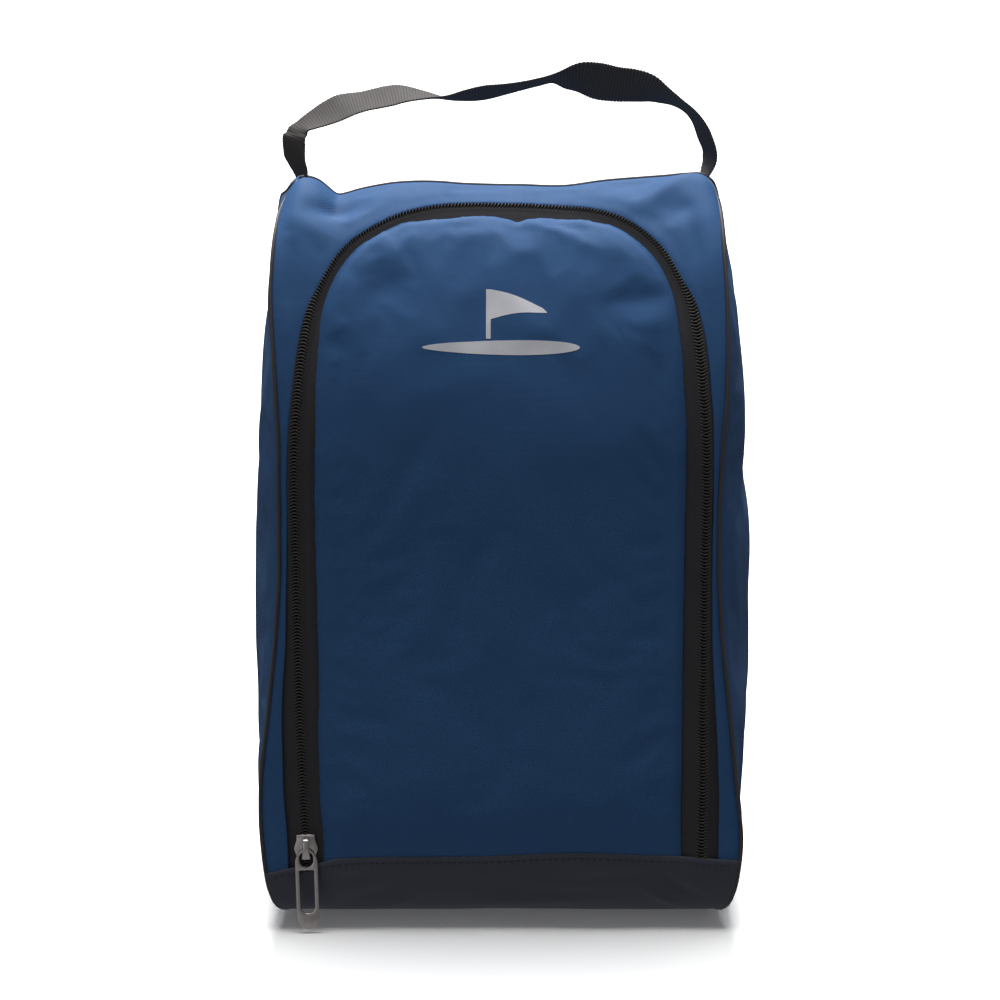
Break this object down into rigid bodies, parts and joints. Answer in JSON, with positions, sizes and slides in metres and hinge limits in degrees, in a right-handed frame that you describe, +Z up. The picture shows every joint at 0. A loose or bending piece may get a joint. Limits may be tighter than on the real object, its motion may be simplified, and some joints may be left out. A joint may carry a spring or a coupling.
{
  "type": "golf shoe bag",
  "caption": "Upright soft shoe bag with a zipped U-shaped front door, piped gusset sides, dark wrap-round base and a short webbing carry handle.",
  "frame": {"origin": "centre of the flat rest face under the base", "axes": "+Z up through the carry handle, front with the zipped door towards -Y, +X to the right of a viewer in front"},
  "size_m": [0.2408, 0.1554, 0.4198],
  "materials": {
    "blue_twill": "fine polyester twill with a low sheen, dope-dyed blue, lined",
    "dark_base_cloth": "fine dull twill, very dark navy",
    "zip_tape": "matt woven zip tape, black",
    "zip_coil": "nylon coil, black with a soft sheen",
    "piping": "coated piping strip, dark grey-brown",
    "webbing": "ribbed polypropylene webbing, black",
    "silver_print": "silver heat-transfer print with a fine twill texture",
    "gunmetal": "satin gunmetal plated zinc die casting",
    "binding": "woven binding tape, black",
    "stiffener": "plain polyethylene board"
  },
  "bodies": {
    "bag": {"front_surround": "blue_twill", "back_panel": "blue_twill", "side_panel_left": "blue_twill", "side_panel_right": "blue_twill", "base_panel": "dark_base_cloth", "base_board": "stiffener", "piping_left": "piping", "piping_right": "piping", "seam_binding_left": "binding", "seam_binding_right": "binding", "top_seam_tape": "binding", "door_hinge_strip": "blue_twill", "zip_tape_outer": "zip_tape", "zip_coil_outer": "zip_coil", "zip_tape_foot_left": "zip_tape", "zip_tape_foot_right": "zip_tape", "zip_coil_foot_left": "zip_coil", "zip_coil_foot_right": "zip_coil", "handle_end_left": "webbing", "handle_end_right": "webbing"},
    "door": {"door_panel": "blue_twill", "front_print": "silver_print", "zip_tape_inner": "zip_tape", "zip_coil_inner": "zip_coil"},
    "slider": {"slider_body": "gunmetal", "slider_crown": "gunmetal"},
    "pull": {"pull_tab": "gunmetal"},
    "handle": {"handle_strap": "webbing"}
  },
  "joints": [
    {"name": "door_open", "type": "hinge", "parent": "bag", "child": "door", "pos_m": [0, -0.0754, 0.0525], "axis": [1, 0, 0], "range_deg": [0, 100]},
    {"name": "zip_slide", "type": "slide", "parent": "bag", "child": "slider", "axis": [-0.0158, 0, 0.9999], "range_m": [0, 0.15]},
    {"name": "pull_swing", "type": "hinge", "parent": "slider", "child": "pull", "pos_m": [-0.09511, -0.0779, 0.0417], "axis": [-0.9999, 0, -0.0158], "range_deg": [0, 165]},
    {"name": "handle_swing", "type": "hinge", "parent": "bag", "child": "handle", "pos_m": [0, 0, 0.36], "axis": [1, 0, 0], "range_deg": [-60, 60]}
  ]
}
